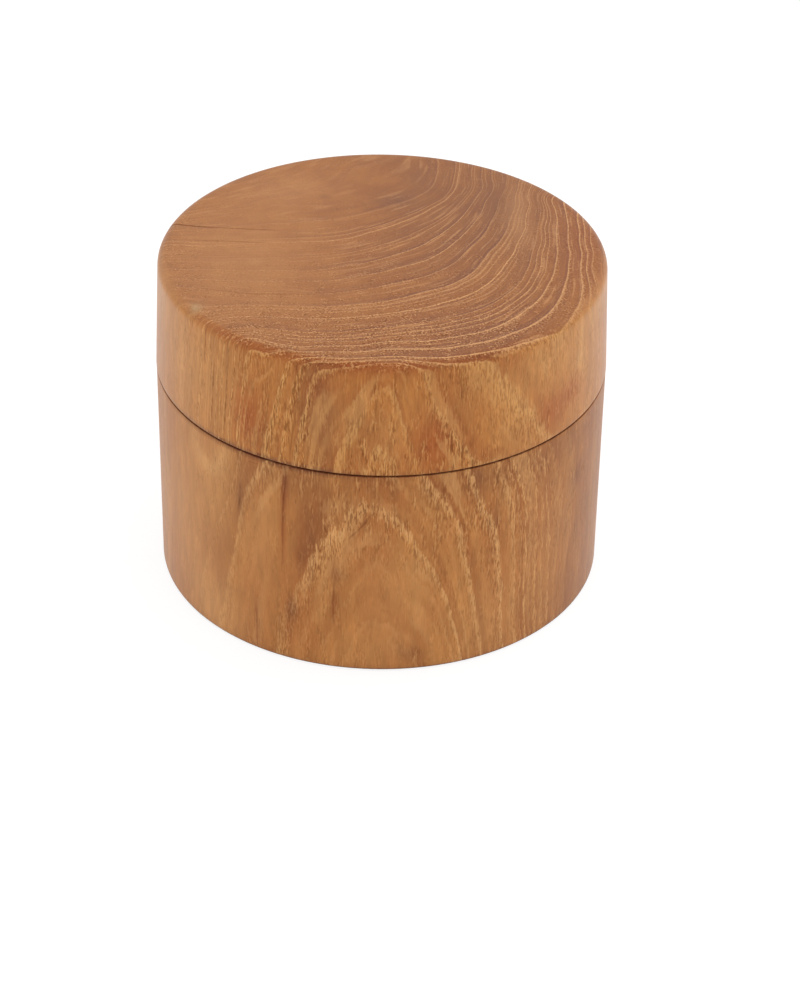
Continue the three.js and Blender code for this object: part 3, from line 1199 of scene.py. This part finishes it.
@dataclass
class JarBody:
    """The jar, turned from one block. Sizes are in millimetres, as in the CAD model."""

    radius: float = 59.9
    shoulder: float = 60.2
    ring_width: float = 9.2
    hollow_depth: float = 0.8
    spigot_radius: float = 54.5
    spigot_height: float = 8.0
    cavity_radius: float = 50.0
    floor: float = 9.8
    cove: float = 9.0
    foot_round: float = 1.0
    shoulder_round: float = 0.3
    root_fillet: float = 0.5
    lead_in: float = 1.2
    lip_round: float = 0.8
    wall_pitch: float = 1.25
    inner_pitch: float = 2.5

    def build(self) -> Object:
        """Turns the outside, the spigot and the cavity from a solid blank.

        Returns:
            The finished piece.
        """
        rim = self.shoulder + self.spigot_height
        turning = Turning("jar_turned", self.radius, 0, self.shoulder)
        turning.face_at(self.shoulder, True)
        turning.step(self.radius - self.spigot_radius, self.spigot_height)
        turning.step(self.spigot_radius - self.cavity_radius, self.floor - rim)
        turning.face_at(0, False)
        hollow = self.radius - self.ring_width - self.hollow_depth
        turning.step(self.ring_width, self.hollow_depth, hollow / (self.radius - self.ring_width))
        # radius, height, rounding and its facets
        for edge in ((self.radius, 0, self.foot_round, 5),
                     (self.radius, self.shoulder, self.shoulder_round, 3),
                     (self.spigot_radius, self.shoulder, self.root_fillet, 3),
                     (self.spigot_radius, rim, self.lead_in, 5),
                     (self.cavity_radius, rim, self.lip_round, 4),
                     (self.cavity_radius, self.floor, self.cove, 12)):
            turning.round_off(*edge)
        turning.ring_wall(self.radius, self.wall_pitch)
        turning.ring_wall(self.cavity_radius, self.inner_pitch)
        turning.ring_disc(self.floor, True, self.cavity_radius - self.cove, self.inner_pitch)
        turning.ring_disc(self.hollow_depth, False, hollow, self.inner_pitch)
        return turning.finish()

    def dress(self, piece: Object, finish: Material) -> None:
        """Marks the grain on the piece and gives it its finish.

        Args:
            piece: The finished piece.
            finish: The jar's teak.
        """
        BODY_BLOCK.mark(piece)
        piece.data.materials.append(finish)
        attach(piece, "jar")
        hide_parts("jar_body")


@dataclass
class Lid:
    """The tall lid, turned from a second block. Sizes are in millimetres, as in the CAD model."""

    mouth_radius: float = 59.98
    mouth: float = 60.55
    top: float = 91.6
    top_radius: float = 58.7
    recess_radius: float = 54.8
    step: float = 68.7
    hollow_radius: float = 50.0
    ceiling: float = 80.6
    cove: float = 6.0
    top_round: float = 2.5
    mouth_round: float = 0.3
    recess_round: float = 0.6
    step_round: float = 0.8
    top_pitch: float = 1.2
    wall_pitch: float = 1.25
    inner_pitch: float = 2.5

    def build(self) -> Object:
        """Turns the drafted outside, the recess and the hollow from a solid blank.

        Returns:
            The finished piece.
        """
        turning = Turning("lid_turned", self.mouth_radius, self.mouth, self.top)
        turning.face_at(self.top, True)
        bpy.ops.transform.resize(value=(self.top_radius / self.mouth_radius,) * 2 + (1,))
        turning.face_at(self.mouth, False)
        turning.step(self.mouth_radius - self.recess_radius, self.step - self.mouth)
        turning.step(self.recess_radius - self.hollow_radius, self.ceiling - self.step)
        # radius, height, rounding and its facets
        for edge in ((self.top_radius, self.top, self.top_round, 8),
                     (self.mouth_radius, self.mouth, self.mouth_round, 3),
                     (self.recess_radius, self.mouth, self.recess_round, 3),
                     (self.hollow_radius, self.step, self.step_round, 4),
                     (self.hollow_radius, self.ceiling, self.cove, 10)):
            turning.round_off(*edge)
        turning.ring_wall((self.top_radius + self.mouth_radius) / 2, self.wall_pitch)
        turning.ring_disc(self.top, True, self.top_radius - self.top_round, self.top_pitch)
        turning.ring_disc(self.ceiling, False, self.hollow_radius - self.cove, self.inner_pitch)
        return turning.finish()

    def dress(self, piece: Object, finish: Material) -> None:
        """Marks the grain on the piece and gives it its finish.

        Args:
            piece: The finished piece.
            finish: The lid's teak.
        """
        LID_BLOCK.mark(piece)
        piece.data.materials.append(finish)
        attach(piece, "lid")
        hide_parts("lid")


# The studio

WHITE = (1.0, 1.0, 1.0, 1.0)


@dataclass
class Studio:
    """Pale floor, soft white light and the camera. Lengths are in metres, angles in degrees."""

    floor_radius: float = 3.0
    floor_sides: int = 96
    floor_lit: float = 0.8
    floor_shown: float = 0.3
    floor_glow: float = 0.795
    sky: float = 0.95
    lamp_size: float = 0.7
    lamp_power: float = 1.2
    lamp_place: tuple[float, float, float] = (0.55, 0.25, 0.75)
    lamp_aim: tuple[float, float, float] = (0.0, 0.0, 0.04)
    sensor: float = 36.0
    clip_start: float = 0.01
    lens: float = 101.9
    distance: float = 0.767
    aim_height: float = 0.042
    elevation: float = 31.61
    pan: float = 0.413
    tilt: float = -1.7435
    roll: float = 1.0

    def lay_floor(self) -> None:
        """Lays the floor. It shows white to the camera apart from the jar's faint shadow."""
        bpy.ops.object.select_all(action="DESELECT")
        bpy.ops.mesh.primitive_circle_add(
            vertices=self.floor_sides, radius=self.floor_radius, fill_type="NGON")
        floor = bpy.context.object
        floor.name = "studio_floor"
        made = bpy.data.materials.new("Pale floor")
        made.use_nodes = True
        add = Tree(made.node_tree)
        shown = add.shown()
        lit, seen = ((grey, grey, grey, 1) for grey in (self.floor_lit, self.floor_shown))
        add.finish("BsdfPrincipled", "OutputMaterial", {
            "Base Color": add.mix(shown, lit, seen), "Roughness": 1.0,
            "Specular IOR Level": 0.0, "Emission Color": WHITE,
            "Emission Strength": add.times(shown, self.floor_glow)})
        floor.data.materials.append(made)

    def hang_lights(self) -> None:
        """Sets the white surroundings and one large soft lamp from the right."""
        world = bpy.data.worlds.new("White surroundings")
        bpy.context.scene.world = world
        world.use_nodes = True
        add = Tree(world.node_tree)
        strength = add.line(add.shown(), 1.0 - self.sky, self.sky)
        add.finish("Background", "OutputWorld", {"Color": WHITE, "Strength": strength})
        lamp = bpy.data.lights.new("soft_window", "AREA")
        lamp.shape = "SQUARE"
        lamp.size = self.lamp_size
        lamp.energy = self.lamp_power
        stand = bpy.data.objects.new("soft_window", lamp)
        stand.location = self.lamp_place
        away = Vector(self.lamp_place) - Vector(self.lamp_aim)
        stand.rotation_euler = away.to_track_quat("Z", "Y").to_euler()
        bpy.context.scene.collection.objects.link(stand)

    def place_camera(self) -> None:
        """Places the camera at the viewing angle of the photograph."""
        rise, pan, tilt, roll = map(math.radians, (self.elevation, self.pan, self.tilt, self.roll))
        ahead = Vector((0, math.cos(rise), -math.sin(rise)))
        place = Vector((0, 0, self.aim_height)) - self.distance * ahead
        right = Vector((1, 0, 0))
        look = ahead + math.tan(pan) * right + math.tan(tilt) * right.cross(ahead)
        look.normalize()
        right = look.cross(Vector((0, 0, 1))).normalized()
        axes = Matrix((right, right.cross(look), -look)).transposed()
        turn = Matrix.Rotation(roll, 3, -look)
        camera = bpy.data.objects.new("camera", bpy.data.cameras.new("camera"))
        camera.data.lens = self.lens
        camera.data.sensor_width = self.sensor
        camera.data.sensor_fit = "AUTO"
        camera.data.clip_start = self.clip_start
        camera.matrix_world = Matrix.Translation(place) @ (turn @ axes).to_4x4()
        bpy.context.scene.collection.objects.link(camera)
        bpy.context.scene.camera = camera


def main() -> None:
    """Builds the jar, its lid and the studio, and reports each piece."""
    logging.basicConfig(level=logging.INFO, format="%(name)s: %(message)s", stream=sys.stdout)
    bpy.context.scene.view_settings.view_transform = "Standard"
    studio = Studio()
    studio.place_camera()
    recipes = Recipes(wander_recipe(), vessel_recipe(), streak_recipe(), speck_recipe())
    for maker, finish in ((JarBody(), BODY_TEAK), (Lid(), LID_TEAK)):
        piece = maker.build()
        maker.dress(piece, finish.material(recipes))
        LOG.info("%s: %d faces", piece.name, len(piece.data.polygons))
    studio.lay_floor()
    studio.hang_lights()
    LOG.info("studio set")


if __name__ == "__main__":
    main()
